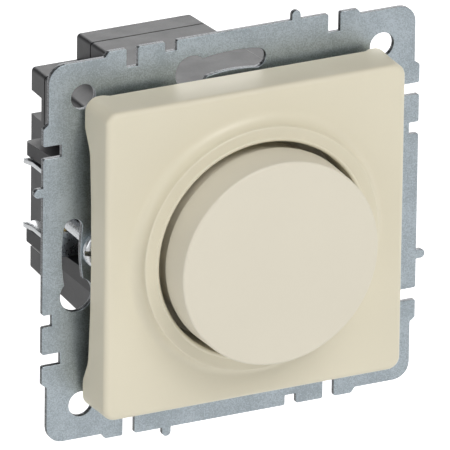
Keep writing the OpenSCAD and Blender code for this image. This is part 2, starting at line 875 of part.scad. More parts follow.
module claw_screw() {
  color([0.76, 0.78, 0.8]) facing() translate([-claw_x, 0, 0]) difference() {
    union() {
      rod(claw_head_r, plate_t + 0.05, plate_t + 1.2);
      rod(claw_head_r - 0.7, plate_t + 1.2, plate_t + 2.0);
      rod(claw_screw_r, claw_screw_tip, plate_t + 0.1);
    }
    block([-4, -0.45, plate_t + 0.9], [4, 0.45, plate_t + 3]);
  }
}

module left_claw() { claw(); }
module right_claw() { mirror([1, 0, 0]) claw(); }
module left_claw_nut() { claw_nut(); }
module right_claw_nut() { mirror([1, 0, 0]) claw_nut(); }
module left_claw_screw() { claw_screw(); }
module right_claw_screw() { mirror([1, 0, 0]) claw_screw(); }

support_plate();
cover();
knob();
knob_ring();
shaft();
shaft_circlip();
bush();
bush_washer();
bush_nut();
pot_case();
pot_rotor();
wiper();
track_board();
resistive_track();
collector_ring();
pot_pins();
switch_case();
switch_slider();
contact_bridge();
fixed_contacts();
return_spring();
circuit_board();
board_screws();
triac();
triac_pad();
triac_screw();
triac_nut();
choke_core();
choke_winding();
interference_capacitor();
timing_capacitor();
resistors();
trimmer();
trimmer_rotor();
fuse_tube();
fuse_caps();
fuse_clips();
terminal_tongues();
terminal_cage_1();
terminal_cage_2();
terminal_cage_3();
terminal_screw_1();
terminal_screw_2();
terminal_screw_3();
housing_body();
rear_lid();
housing_screws();
left_claw();
right_claw();
left_claw_nut();
right_claw_nut();
left_claw_screw();
right_claw_screw();
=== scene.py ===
"""Looks of a flush-mounted rotary push dimmer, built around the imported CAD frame.

Shapes are written in the part's drawing coordinates, in millimetres: x to the right, y up,
z towards the user, from the centre of the support plate's rear face. at() turns them into
the row frame in metres.
"""

import json
import math

import bmesh
import bpy
import numpy as np
from mathutils import Matrix, Vector


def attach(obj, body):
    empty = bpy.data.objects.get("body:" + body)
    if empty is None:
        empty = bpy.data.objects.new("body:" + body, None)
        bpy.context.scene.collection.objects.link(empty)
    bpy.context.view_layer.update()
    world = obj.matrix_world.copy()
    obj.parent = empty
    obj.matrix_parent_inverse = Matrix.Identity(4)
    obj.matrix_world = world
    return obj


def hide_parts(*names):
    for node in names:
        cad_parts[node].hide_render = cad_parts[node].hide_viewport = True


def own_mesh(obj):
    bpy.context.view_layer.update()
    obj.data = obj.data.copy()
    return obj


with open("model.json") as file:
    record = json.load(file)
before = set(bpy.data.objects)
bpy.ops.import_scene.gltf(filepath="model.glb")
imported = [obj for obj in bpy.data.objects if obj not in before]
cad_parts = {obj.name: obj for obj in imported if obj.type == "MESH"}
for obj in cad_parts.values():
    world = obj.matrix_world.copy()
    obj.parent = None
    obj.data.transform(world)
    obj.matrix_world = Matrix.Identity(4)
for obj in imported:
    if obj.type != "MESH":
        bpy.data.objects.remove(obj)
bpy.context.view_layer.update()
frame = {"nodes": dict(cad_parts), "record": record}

MM = 0.001
NODES = frame["nodes"]
BODY_OF = {
    node: body
    for body, members in frame["record"]["behaviour"]["bodies"].items()
    for node in members
}
SLOT_OF = {s["node"]: s["material_slot"] for s in frame["record"]["subparts"]}
# From drawing millimetres to the row frame in metres
DRAWING = Matrix(((MM, 0, 0, 0), (0, 0, -MM, 0), (0, MM, 0, 0), (0, 0, 0, 1)))

# Places that the part's drawing gives, in millimetres
CLAW_X = 24.3
CLAW_SCREW_TIP = -19.2
POST_X, POST_Y = 16.5, 15.6
TRIAC_SCREW_Y = 20.8
TERMINAL_Y, TERMINAL_Z = 11.8, -25
TERMINAL_SIDES = ((-1, 1), (-1, -1), (1, 1))
BOARD_BACK, BOARD_FRONT = -21.6, -20.0
PIN_PITCH = 2.54
CHOKE_R, CHOKE_Z = 6.0, -27.2
SPRING_BACK, SPRING_FRONT = -17.9, -14.25
RESISTOR_ROWS, RESISTOR_Z, RESISTOR_SPAN = (-11.8, -14.9), -23.0, 4.1
FUSE_X, FUSE_Y, FUSE_Z = 14.8, -6.4, -25.0
RIB_TIP_X, RIB_TIP_DEPTH = 25.35, 27.05


def at(x, y, z):
    """A point of the drawing, in the row frame in metres."""
    return DRAWING @ Vector((x, y, z))


# --- Camera, light and floor -----------------------------------------------------------


CAMERA_ANGLES = (26.567, 22.79, 0.786)
CAMERA_PLACE = (-886.41, -1771.25, 831.67)
SENSOR, LENS = 36, 1016.3


def make_camera():
    """The photograph's view, solved from the plate's holes and the cover's corners."""
    turn, tilt, roll = (math.radians(v) for v in CAMERA_ANGLES)
    back = Vector((-math.sin(turn) * math.cos(tilt), -math.cos(turn) * math.cos(tilt),
                   math.sin(tilt)))
    level = Vector((math.cos(turn), -math.sin(turn), 0))
    upright = back.cross(level)
    right = level * math.cos(roll) + upright * math.sin(roll)
    up = upright * math.cos(roll) - level * math.sin(roll)
    data = bpy.data.cameras.new("camera")
    data.sensor_width = SENSOR
    data.lens = LENS
    data.clip_start = 0.1
    data.clip_end = 50
    camera = bpy.data.objects.new("camera", data)
    place = Matrix((right, up, back)).transposed().to_4x4()
    place.translation = Vector(CAMERA_PLACE) * MM
    camera.matrix_world = place
    bpy.context.scene.collection.objects.link(camera)
    bpy.context.scene.camera = camera


def softbox(name, toward, distance, size, power, colour=(1, 1, 1)):
    """An area light that shines at the object from the given direction."""
    data = bpy.data.lights.new(name, "AREA")
    data.shape = "RECTANGLE"
    data.size, data.size_y = size
    data.energy = power
    data.color = colour
    light = bpy.data.objects.new(name, data)
    direction = Vector(toward).normalized()
    light.location = direction * distance
    light.rotation_euler = direction.to_track_quat("Z", "Y").to_euler()
    bpy.context.scene.collection.objects.link(light)


def make_world():
    """A bright horizon under a dim grey ceiling."""
    world = bpy.data.worlds.new("studio")
    bpy.context.scene.world = world
    world.use_nodes = True
    tree = world.node_tree
    tree.nodes.clear()
    out = tree.nodes.new("ShaderNodeOutputWorld")
    background = tree.nodes.new("ShaderNodeBackground")
    coordinates = tree.nodes.new("ShaderNodeTexCoord")
    split = tree.nodes.new("ShaderNodeSeparateXYZ")
    ramp = tree.nodes.new("ShaderNodeValToRGB")
    horizon, zenith = ramp.color_ramp.elements
    horizon.position, horizon.color = 0.0, (1.0, 1.0, 1.0, 1)
    zenith.position, zenith.color = 1.0, (0.14, 0.145, 0.155, 1)
    for height, grey in ((0.05, 0.95), (0.18, 0.14)):
        ramp.color_ramp.elements.new(height).color = (grey, grey, grey, 1)
    tree.links.new(coordinates.outputs["Generated"], split.inputs[0])
    tree.links.new(split.outputs["Z"], ramp.inputs[0])
    tree.links.new(ramp.outputs[0], background.inputs["Color"])
    background.inputs["Strength"].default_value = 1.0
    tree.links.new(background.outputs[0], out.inputs["Surface"])


FLOOR_SIZE, FLOOR_DROP = 12, 0.25
# The floor's glow, by the distance in metres along (1, 0.8) from below the object
GLOW = (("From Min", 0.08), ("From Max", 0.45), ("To Min", 0.25), ("To Max", 0.72))


def make_floor():
    """A pale floor well below the object, brighter towards the back and the right. Seen
    from below it is clear."""
    bpy.ops.mesh.primitive_plane_add(size=FLOOR_SIZE, location=(0, 0, -FLOOR_DROP))
    floor = bpy.context.object
    floor.name = "floor"
    material = bpy.data.materials.new("floor_paper")
    material.use_nodes = True
    tree = material.node_tree
    shader = tree.nodes["Principled BSDF"]
    shader.inputs["Base Color"].default_value = (0.85, 0.85, 0.85, 1)
    shader.inputs["Roughness"].default_value = 0.9
    shader.inputs["Emission Color"].default_value = (1, 1, 1, 1)
    spot = tree.nodes.new("ShaderNodeTexCoord")
    along = tree.nodes.new("ShaderNodeVectorMath")
    along.operation = "DOT_PRODUCT"
    along.inputs[1].default_value = (1.0, 0.8, 0.0)
    glow = tree.nodes.new("ShaderNodeMapRange")
    for name, value in GLOW:
        glow.inputs[name].default_value = value
    tree.links.new(spot.outputs["Object"], along.inputs[0])
    tree.links.new(along.outputs["Value"], glow.inputs["Value"])
    tree.links.new(glow.outputs["Result"], shader.inputs["Emission Strength"])
    clear = tree.nodes.new("ShaderNodeBsdfTransparent")
    side = tree.nodes.new("ShaderNodeNewGeometry")
    mix = tree.nodes.new("ShaderNodeMixShader")
    tree.links.new(side.outputs["Backfacing"], mix.inputs[0])
    tree.links.new(shader.outputs[0], mix.inputs[1])
    tree.links.new(clear.outputs[0], mix.inputs[2])
    tree.links.new(mix.outputs[0], tree.nodes["Material Output"].inputs["Surface"])
    floor.data.materials.append(material)


# --- Materials ---------------------------------------------------------------------------


# Textures stay mostly between these two values
LOW, HIGH = 0.3, 0.7


class Finish:
    """A procedural material: colours, roughness and relief come from textures in object
    coordinates, so that they stay on the piece when it moves."""

    def __init__(self, name, metallic=0.0, ior=1.5, coat=0.0):
        self.material = bpy.data.materials.new(name)
        self.material.use_nodes = True
        self.tree = self.material.node_tree
        self.shader = self.tree.nodes["Principled BSDF"]
        self.shader.inputs["Metallic"].default_value = metallic
        self.shader.inputs["IOR"].default_value = ior
        self.shader.inputs["Coat Weight"].default_value = coat
        self.shader.inputs["Coat Roughness"].default_value = 0.2
        self.coordinates = self.tree.nodes.new("ShaderNodeTexCoord").outputs["Object"]

    def scaled(self, stretch):
        """Object coordinates in millimetres, divided by stretch."""
        mapping = self.tree.nodes.new("ShaderNodeMapping")
        mapping.inputs["Scale"].default_value = [1 / (MM * s) for s in stretch]
        self.tree.links.new(self.coordinates, mapping.inputs["Vector"])
        return mapping.outputs[0]

    def noise(self, size, detail=3.0, stretch=(1, 1, 1), distortion=0.0):
        """Noise with features of about size millimetres, longer where stretch is more."""
        node = self.tree.nodes.new("ShaderNodeTexNoise")
        place = self.scaled([size * s for s in stretch])
        self.tree.links.new(place, node.inputs["Vector"])
        node.inputs["Scale"].default_value = 1.0
        node.inputs["Detail"].default_value = detail
        node.inputs["Distortion"].default_value = distortion
        return node.outputs["Fac"]

    def cells(self, size):
        """A random value for each crystal of about size millimetres."""
        node = self.tree.nodes.new("ShaderNodeTexVoronoi")
        self.tree.links.new(self.scaled((size, size, size)), node.inputs["Vector"])
        node.inputs["Scale"].default_value = 1.0
        split = self.tree.nodes.new("ShaderNodeSeparateColor")
        self.tree.links.new(node.outputs["Color"], split.inputs[0])
        return split.outputs[0]

    def mean(self, a, b, share):
        """A mean of two values, in which b has this share."""
        node = self.tree.nodes.new("ShaderNodeMix")
        node.data_type = "FLOAT"
        node.inputs[0].default_value = share
        self.tree.links.new(a, node.inputs[2])
        self.tree.links.new(b, node.inputs[3])
        return node.outputs[0]

    def colour(self, value, first, second, low=LOW, high=HIGH):
        """The base colour runs from first to second as value rises from low to high."""
        ramp = self.tree.nodes.new("ShaderNodeValToRGB")
        ramp.color_ramp.elements[0].position = low
        ramp.color_ramp.elements[0].color = (*first, 1)
        ramp.color_ramp.elements[1].position = high
        ramp.color_ramp.elements[1].color = (*second, 1)
        self.tree.links.new(value, ramp.inputs[0])
        self.tree.links.new(ramp.outputs[0], self.shader.inputs["Base Color"])

    def roughness(self, value, first, second):
        """Roughness runs from first to second over the texture's middle range."""
        node = self.tree.nodes.new("ShaderNodeMapRange")
        node.inputs["From Min"].default_value = LOW
        node.inputs["From Max"].default_value = HIGH
        node.inputs["To Min"].default_value = first
        node.inputs["To Max"].default_value = second
        self.tree.links.new(value, node.inputs["Value"])
        self.tree.links.new(node.outputs["Result"], self.shader.inputs["Roughness"])

    def relief(self, value, height):
        """Bumps of about height millimetres."""
        node = self.tree.nodes.new("ShaderNodeBump")
        node.inputs["Distance"].default_value = height * MM
        node.inputs["Strength"].default_value = 1.0
        self.tree.links.new(value, node.inputs["Height"])
        self.tree.links.new(node.outputs["Normal"], self.shader.inputs["Normal"])


def shades(colour, spread):
    """Two shades around a colour, spread apart by a share of it."""
    return [
        tuple(min(1.0, c * (1 + sign * spread / 2)) for c in colour)
        for sign in (-1, 1)
    ]


def plastic(name, colour, rough, spread=0.03, mottle=9.0, grain=0.22, height=0.004,
            ior=1.5, coat=0.0):
    """Moulded plastic: faint flow marks and the mould's fine grain."""
    finish = Finish(name, ior=ior, coat=coat)
    fine = finish.noise(grain, 2)
    finish.colour(finish.mean(finish.noise(mottle, 4), fine, 0.35), *shades(colour, spread))
    finish.roughness(finish.mean(finish.noise(mottle * 0.6, 3), fine, 0.4), *rough)
    finish.relief(fine, height)
    return finish.material


def drawn_metal(name, colour, rough, stretch, spread=0.12, size=0.5, height=0.003):
    """Rolled or drawn metal with fine lines along one direction."""
    finish = Finish(name, metallic=1.0)
    lines = finish.noise(size, 4, stretch)
    cloud = finish.noise(size * 9, 4)
    finish.colour(finish.mean(lines, cloud, 0.55), *shades(colour, spread))
    finish.roughness(finish.mean(lines, cloud, 0.3), *rough)
    finish.relief(lines, height)
    return finish.material


def galvanised():
    """Zinc-coated sheet: small crystals, cloudy patches and fine grain."""
    finish = Finish("galvanised_sheet", metallic=1.0)
    crystals = finish.mean(finish.cells(0.35), finish.cells(0.8), 0.3)
    cloud = finish.noise(5.5, 5, distortion=0.6)
    fine = finish.noise(0.25, 2)
    surface = finish.mean(finish.mean(crystals, cloud, 0.7), fine, 0.6)
    finish.colour(surface, (0.36, 0.41, 0.445), (0.52, 0.585, 0.63), 0.42, 0.58)
    finish.roughness(surface, 0.34, 0.44)
    finish.relief(finish.mean(fine, crystals, 0.2), 0.005)
    return finish.material


def sheared_edge_painted_shade():
    """The edge of punched sheet, with lines across its thickness: dull cut steel, its colour
    darkened nearly to black as painted shade.
    """
    finish = Finish("sheared_edge_painted_shade", metallic=1.0)
    lines = finish.noise(0.14, 3, (1, 9, 1))
    # Near-black to dark grey: painted shade on the cut edges, much darker than bare steel is
    finish.colour(lines, (0.04, 0.042, 0.045), (0.3, 0.31, 0.32))
    finish.roughness(lines, 0.3, 0.45)
    finish.relief(lines, 0.012)
    return finish.material


def glass():
    """Clear glass with faint waves."""
    finish = Finish("fuse_glass", ior=1.5)
    waves = finish.noise(2.0, 2)
    finish.colour(waves, *shades((0.9, 0.93, 0.94), 0.03))
    finish.roughness(waves, 0.02, 0.06)
    finish.relief(waves, 0.004)
    finish.shader.inputs["Transmission Weight"].default_value = 0.95
    return finish.material


CREAM = (0.76, 0.71, 0.56)
KNOB_CREAM = (0.75, 0.705, 0.585)

MATERIALS = {
    "galvanised_sheet": galvanised(),
    "sheared_edge_painted_shade": sheared_edge_painted_shade(),
    "cover_plastic": plastic("cover_plastic", CREAM, (0.34, 0.44), 0.025, 14, 0.3, 0.0035),
    "knob_plastic": plastic("knob_plastic", KNOB_CREAM, (0.36, 0.46), 0.02, 14, 0.3, 0.0035),
    "black_plastic": plastic("black_plastic", (0.02, 0.02, 0.022), (0.34, 0.44), 0.3, 5,
                             0.28, 0.008, 1.45),
    "claw_sheet": drawn_metal("claw_sheet", (0.74, 0.76, 0.77), (0.22, 0.36), (1, 12, 1)),
    "zinc_screws": drawn_metal("zinc_screws", (0.74, 0.76, 0.78), (0.2, 0.36), (1, 1, 1)),
    "spring_steel": drawn_metal("spring_steel", (0.6, 0.61, 0.63), (0.18, 0.3), (1, 1, 6)),
    "shaft_steel": drawn_metal("shaft_steel", (0.68, 0.68, 0.7), (0.16, 0.28), (1, 0.1, 1)),
    "blackened_steel": drawn_metal("blackened_steel", (0.1, 0.1, 0.11), (0.4, 0.55), (1, 1, 1)),
    "brass": drawn_metal("brass", (0.78, 0.6, 0.3), (0.2, 0.34), (1, 7, 1)),
    "contact_copper": drawn_metal("contact_copper", (0.82, 0.48, 0.3), (0.2, 0.34), (8, 1, 1)),
    "tinned_pins": drawn_metal("tinned_pins", (0.77, 0.77, 0.79), (0.14, 0.26), (1, 5, 1)),
    "pot_plastic": plastic("pot_plastic", (0.05, 0.05, 0.055), (0.42, 0.55), 0.25),
    "natural_plastic": plastic("natural_plastic", (0.74, 0.71, 0.62), (0.4, 0.5), 0.04),
    "red_plastic": plastic("red_plastic", (0.6, 0.06, 0.035), (0.35, 0.45), 0.06),
    "phenolic_board": plastic("phenolic_board", (0.3, 0.14, 0.05), (0.45, 0.6), 0.3, 1.5),
    "carbon_film": plastic("carbon_film", (0.018, 0.018, 0.02), (0.5, 0.65), 0.3, 0.6),
    "circuit_laminate": plastic("circuit_laminate", (0.33, 0.3, 0.1), (0.3, 0.42), 0.16, 0.9,
                                0.35, 0.01, 1.5, 0.4),
    "moulded_epoxy": plastic("moulded_epoxy", (0.025, 0.025, 0.028), (0.5, 0.65), 0.35, 2.0),
    "thermal_pad": plastic("thermal_pad", (0.62, 0.62, 0.56), (0.7, 0.85), 0.08, 1.2),
    "iron_powder": plastic("iron_powder", (0.72, 0.6, 0.06), (0.4, 0.55), 0.12, 1.0, 0.18,
                           0.03),
    "enamelled_copper": drawn_metal("enamelled_copper", (0.7, 0.26, 0.09), (0.18, 0.3),
                                    (1, 1, 1)),
    "yellow_film_case": plastic("yellow_film_case", (0.74, 0.44, 0.04), (0.3, 0.42), 0.05),
    "red_film_case": plastic("red_film_case", (0.42, 0.035, 0.02), (0.2, 0.32), 0.08, 3, 0.9,
                             0.02),
    "resistor_lacquer": plastic("resistor_lacquer", (0.62, 0.46, 0.24), (0.28, 0.4), 0.08, 2,
                                0.5, 0.01),
    "blue_plastic": plastic("blue_plastic", (0.03, 0.09, 0.4), (0.38, 0.5), 0.06),
    "white_plastic": plastic("white_plastic", (0.74, 0.74, 0.72), (0.4, 0.5), 0.04),
    "fuse_glass": glass(),
}


# --- Making pieces -----------------------------------------------------------------------


def new_object(name, mesh):
    """A piece with this mesh, in the scene."""
    piece = bpy.data.objects.new(name, mesh)
    bpy.context.scene.collection.objects.link(piece)
    return piece


def from_faces(name, points, faces):
    """A piece from points of the drawing, with its faces turned outwards."""
    mesh = bpy.data.meshes.new(name)
    mesh.from_pydata([at(*p) for p in points], [], faces)
    work = bmesh.new()
    work.from_mesh(mesh)
    bmesh.ops.remove_doubles(work, verts=work.verts, dist=1e-7)
    bmesh.ops.recalc_face_normals(work, faces=work.faces)
    work.to_mesh(mesh)
    work.free()
    return new_object(name, mesh)


def loft(name, rings, around=False):
    """Joins rings of equally many points. around closes the last ring to the first;
    otherwise the first and last rings get caps."""
    count = len(rings[0])
    points = [p for ring in rings for p in ring]
    faces = []
    for i in range(len(rings) if around else len(rings) - 1):
        a, b = i * count, (i + 1) % len(rings) * count
        for k in range(count):
            n = (k + 1) % count
            faces.append((a + k, a + n, b + n, b + k))
    if not around:
        faces.append(tuple(range(count)))
        faces.append(tuple(reversed(range(len(points) - count, len(points)))))
    return from_faces(name, points, faces)


def angles(first, last, count):
    """Angles in radians from first to last, given in degrees."""
    return np.radians(np.linspace(first, last, count))


def circle(r, z, count):
    """Points of a circle about the z axis."""
    turns = [2 * math.pi * k / count for k in range(count)]
    return [(r * math.cos(t), r * math.sin(t), z) for t in turns]


def smoothed(piece, angle=35):
    """Smooth shading that keeps edges sharper than angle."""
    mesh = piece.data
    mesh.shade_smooth()
    mesh.set_sharp_from_angle(angle=math.radians(angle))
    return piece


def weighted(piece):
    """Turns the normals to the large faces, so that flats look flat beside roundings."""
    weights = piece.modifiers.new("weights", "WEIGHTED_NORMAL")
    weights.keep_sharp = True
    weights.weight = 80
    return settle(piece)


def settle(piece):
    """Applies the piece's modifiers."""
    graph = bpy.context.evaluated_depsgraph_get()
    evaluated = piece.evaluated_get(graph)
    mesh = bpy.data.meshes.new_from_object(evaluated)
    piece.modifiers.clear()
    old = piece.data
    piece.data = mesh
    bpy.data.meshes.remove(old)
    return piece


def rounded(piece, width, segments=2, angle=30):
    """Rounds the edges that are sharper than angle. width is in millimetres."""
    piece.data.shade_smooth()
    bevel = piece.modifiers.new("bevel", "BEVEL")
    bevel.width = width * MM
    bevel.segments = segments
    bevel.limit_method = "ANGLE"
    bevel.angle_limit = math.radians(angle)
    bevel.use_clamp_overlap = True
    bevel.harden_normals = True
    bevel.miter_outer = "MITER_ARC"
    return settle(piece)


def copy_of(node, name):
    """A copy of a CAD node's mesh with its flat faces joined up."""
    work = bmesh.new()
    work.from_mesh(NODES[node].data)
    bmesh.ops.remove_doubles(work, verts=work.verts, dist=2e-6)
    bmesh.ops.dissolve_limit(work, angle_limit=math.radians(0.3), verts=work.verts,
                             edges=work.edges)
    mesh = bpy.data.meshes.new(name)
    work.to_mesh(mesh)
    work.free()
    return new_object(name, mesh)


def carved(piece, *cutters):
    """Takes the cutters away from the piece."""
    for cutter in cutters:
        cut = piece.modifiers.new("cut", "BOOLEAN")
        cut.operation = "DIFFERENCE"
        cut.solver = "EXACT"
        cut.object = cutter
    bpy.context.view_layer.update()
    settle(piece)
    for cutter in cutters:
        bpy.data.objects.remove(cutter)
    return piece


def block(name, low, high):
    """A box of the drawing, for cutting."""
    points = [(x, y, z) for x in (low[0], high[0]) for y in (low[1], high[1])
              for z in (low[2], high[2])]
    faces = [(0, 1, 3, 2), (4, 6, 7, 5), (0, 4, 5, 1), (2, 3, 7, 6), (0, 2, 6, 4), (1, 5, 7, 3)]
    return from_faces(name, points, faces)


def joined(name, pieces):
    """Puts several pieces into one mesh, with all their materials."""
    with bpy.context.temp_override(
        active_object=pieces[0], selected_editable_objects=pieces, object=pieces[0],
        selected_objects=pieces,
    ):
        bpy.ops.object.join()
    pieces[0].name = name
    pieces[0].data.name = name
    return pieces[0]


def dress(piece, *slots):
    """Gives the piece the materials of these slots, in the place of what it had."""
    piece.data.materials.clear()
    for name in slots:
        piece.data.materials.append(MATERIALS[name])
    return piece


def stand_in(piece, *nodes):
    """The piece takes the place of CAD nodes, on their body."""
    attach(piece, BODY_OF[nodes[0]])
    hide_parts(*nodes)
    return piece


# --- Cover -------------------------------------------------------------------------------

COVER_HALF = 28.0
COVER_CORNER = 2.2
COVER_Z = 10.25
COVER_WALL = 1.7
COVER_EDGE = 0.92
COLLAR_R = 19.3
COLLAR_TOP = 13.0
COLLAR_FOOT_R = 24.0
COVE = (2.0, 2.3)
SHOULDER, LIP = 0.3, 0.4
# The well's floor and underside, the hub under it with its bore, and the well's outer wall
WELL_Z, UNDER_Z = 5.0, 3.5
HUB_R, HUB_BORE_R, HUB_Z = 8.5, 5.15, 1.0
WELL_WALL_R = 20.8
# The cover's foot stands at FOOT_Z at its corners. Between them its top and bottom sides
# end at SIDE_Z, and ARCH gives the height of its left and right sides along them.
FOOT_Z, SIDE_Z = 2.0, 2.65
ARCH = ([-23.5, -19.2, -10, 0, 10, 19.2, 23.2], [1.8, 4.0, 4.6, 4.8, 4.6, 4.0, 1.8])


def square_ring(half, r, z, along=49, corner=10):
    """A rounded square with the same number of points at any size."""
    reach = COVER_HALF - 3
    spots = np.linspace(-reach, reach, along)
    side = [(half, s) for s in spots]
    turns = np.radians(np.linspace(0, 90, corner))
    side += [(half - r + r * math.cos(t), half - r + r * math.sin(t)) for t in turns]
    ring = []
    for k in range(4):
        c, s = round(math.cos(k * math.pi / 2)), round(math.sin(k * math.pi / 2))
        ring += [(x * c - y * s, x * s + y * c, z) for x, y in side]
    return ring


def round_ring(r, z):
    """A circle whose points lie at the same angles as a square ring's."""
    reference = square_ring(COVER_HALF, COVER_CORNER, 0)
    return [(r * x / math.hypot(x, y), r * y / math.hypot(x, y), z) for x, y, _ in reference]


def rim_height(x, y):
    """Height of the cover's lower edge, which is arched at the left and right."""
    if abs(x) > abs(y):
        spread = np.linspace(-0.8, 0.8, 9)
        arch = float(np.mean(np.interp(y + spread, *ARCH)))
        return max(FOOT_Z, arch)
    return SIDE_Z if abs(x) < 24 else FOOT_Z


def on_rim(ring, lift=0.0):
    """The ring with its points at the cover's lower edge, or lift above it."""
    return [(x, y, rim_height(x, y) + lift) for x, y, _ in ring]


def make_cover():
    """The cover, as rings that run over its outside, into the well and back underneath."""
    half, top, wall, edge = COVER_HALF, COVER_Z, COVER_WALL, COVER_EDGE
    rings = [
        on_rim(square_ring(half + 0.08, 2.3, 0)),
        on_rim(square_ring(half + 0.2, 2.4, 0), 0.14),
        square_ring(half + 0.06, 2.3, 6.2),
        square_ring(half + 0.01, COVER_CORNER, top - edge - 0.25),
    ]
    for a in angles(0, 90, 9):
        inwards = edge * (1 - math.cos(a))
        rings.append(square_ring(half - inwards, COVER_CORNER - 0.6 * inwards,
                                 top - edge * (1 - math.sin(a))))
    rings.append(square_ring(half - edge - 0.25, 1.5, top))

    rings.append(round_ring(COLLAR_FOOT_R + 0.35, top))
    for a in angles(90, 0, 13):
        rings.append(round_ring(COLLAR_FOOT_R - COVE[0] * math.cos(a),
                                top + COVE[1] * (1 - math.sin(a))))
    land_r = COLLAR_FOOT_R - COVE[0] - SHOULDER
    land_z = top + COVE[1] + SHOULDER
    for a in angles(15, 90, 6):
        rings.append(round_ring(land_r + SHOULDER * math.cos(a),
                                top + COVE[1] + SHOULDER * math.sin(a)))
    rings.append(round_ring(land_r - 0.1, land_z))
    rings.append(round_ring(COLLAR_R + LIP + 0.38, land_z))
    for a in angles(40, 180, 11):
        rings.append(round_ring(COLLAR_R + LIP + LIP * math.cos(a),
                                COLLAR_TOP - LIP + LIP * math.sin(a)))

    inside = (
        (COLLAR_R - 0.02, 8.0), (COLLAR_R - 0.05, WELL_Z + 0.4), (COLLAR_R - 0.16, WELL_Z + 0.12),
        (COLLAR_R - 0.45, WELL_Z), (12.0, WELL_Z), (HUB_BORE_R + 0.2, WELL_Z),
        (HUB_BORE_R, WELL_Z - 0.2), (HUB_BORE_R, HUB_Z), (HUB_R, HUB_Z), (HUB_R, UNDER_Z),
        (WELL_WALL_R, UNDER_Z), (WELL_WALL_R, top - wall), (24.6, top - wall),
    )
    rings += [round_ring(r, z) for r, z in inside]
    rings += [
        square_ring(half - wall - 0.5, 0.6, top - wall),
        square_ring(half - wall, 1.2, top - wall - 0.5),
        on_rim(square_ring(half - wall + 0.19, 1.2, 0), 0.14),
        on_rim(square_ring(half - wall + 0.31, 1.3, 0)),
    ]
    piece = smoothed(loft("cover_cap", rings, around=True), 40)
    stand_in(dress(weighted(piece), "cover_plastic"), "cover")


# --- Knob --------------------------------------------------------------------------------


def make_knob():
    """The knob's CAD shape with its edges softened."""
    piece = rounded(copy_of("knob", "knob_cap"), 0.12, 2, 40)
    stand_in(dress(weighted(piece), "knob_plastic"), "knob")


# --- Support plate -----------------------------------------------------------------------


def make_plate():
    """The plate with its punched edges slightly rounded; its cut faces get a dull, near-black
    material that paints shade on them.
    """
    piece = weighted(rounded(copy_of("support_plate", "support_sheet"), 0.1, 2))
    dress(piece, "galvanised_sheet", "sheared_edge_painted_shade")
    for face in piece.data.polygons:
        # Faces across the sheet's thickness take the edge material with painted shade
        cut = abs(face.normal.y) < 0.3
        face.material_index = 1 if cut else 0
    stand_in(piece, "support_plate")


# --- Housing -----------------------------------------------------------------------------


def round_rib_ends(piece, radius=0.9):
    """Rounds the far outer corner of each rib beside the claws more than the other edges."""
    work = bmesh.new()
    work.from_mesh(piece.data)
    near = 0.15
    corners = [edge for edge in work.edges
               if all(abs(point.co.x) > (RIB_TIP_X - near) * MM
                      and point.co.y > (RIB_TIP_DEPTH - near) * MM
                      for point in edge.verts)]
    bmesh.ops.bevel(work, geom=corners, offset=radius * MM, segments=4, profile=0.5,
                    affect="EDGES")
    work.to_mesh(piece.data)
    work.free()
    return piece


def make_housing():
    """The two black shells with their edges softened."""
    for node, name in (("housing_body", "housing_shell"), ("rear_lid", "housing_lid")):
        piece = round_rib_ends(copy_of(node, name))
        piece = weighted(rounded(piece, 0.25, 2))
        stand_in(dress(piece, "black_plastic"), node)


# --- Claws, nuts and screws ----------------------------------------------------------------


def make_claws():
    """The two claws and their barrel nuts with their edges softened."""
    for side in ("left", "right"):
        piece = rounded(copy_of(f"{side}_claw", f"{side}_claw_sheet"), 0.1, 2)
        stand_in(dress(piece, "claw_sheet"), f"{side}_claw")
        piece = rounded(copy_of(f"{side}_claw_nut", f"{side}_barrel_nut"), 0.15, 2)
        stand_in(dress(piece, "brass"), f"{side}_claw_nut")


def screw(name, head_r, seat, top, shank_r, end, slot, cross=False, pitch=0.5):
    """A screw along z with a domed head, cut threads and a driver slot.

    The head reaches from seat up to top, and the shank down to end. slot is the slot's
    width and depth."""
    count, depth, dome = 40, 0.3 * pitch, 0.45
    rings = [circle(0.02, top, count)]
    for a in angles(15, 90, 6):
        rings.append(circle(head_r * math.sin(a),
                            top - dome * (top - seat) * (1 - math.cos(a)), count))
    rings.append(circle(head_r, seat + 0.15, count))
    rings.append(circle(head_r - 0.15, seat, count))
    rings.append(circle(shank_r, seat, count))
    steps = max(4, round((seat - end - 1.0) / (pitch / 6)))
    for z in np.linspace(seat - 0.6, end + 0.4, steps):
        ring = []
        for k in range(count):
            phase = (z / pitch + k / count) % 1
            r = shank_r - depth * abs(2 * phase - 1)
            ring.append((r * math.cos(2 * math.pi * k / count),
                         r * math.sin(2 * math.pi * k / count), z))
        rings.append(ring)
    rings.append(circle(shank_r - depth - 0.35, end, count))
    piece = loft(name, rings)
    reach = head_r * 0.6 if cross else head_r + 1
    half, bottom = slot[0] / 2, top - slot[1]
    cutters = [block("slot", (-reach, -half, bottom), (reach, half, top + 1))]
    if cross:
        cutters.append(block("slot", (-half, -reach, bottom), (half, reach, top + 1)))
    carved(piece, *cutters)
    dress(piece, "zinc_screws")
    return smoothed(piece, 35)


def moved(piece, x, y, z, turn=None):
    """Moves a piece that was made at the drawing's origin, after turning it there."""
    step = Matrix.Translation(Vector((x, y, z)))
    if turn is not None:
        step = step @ turn
    piece.data.transform(DRAWING @ step @ DRAWING.inverted())
    return piece


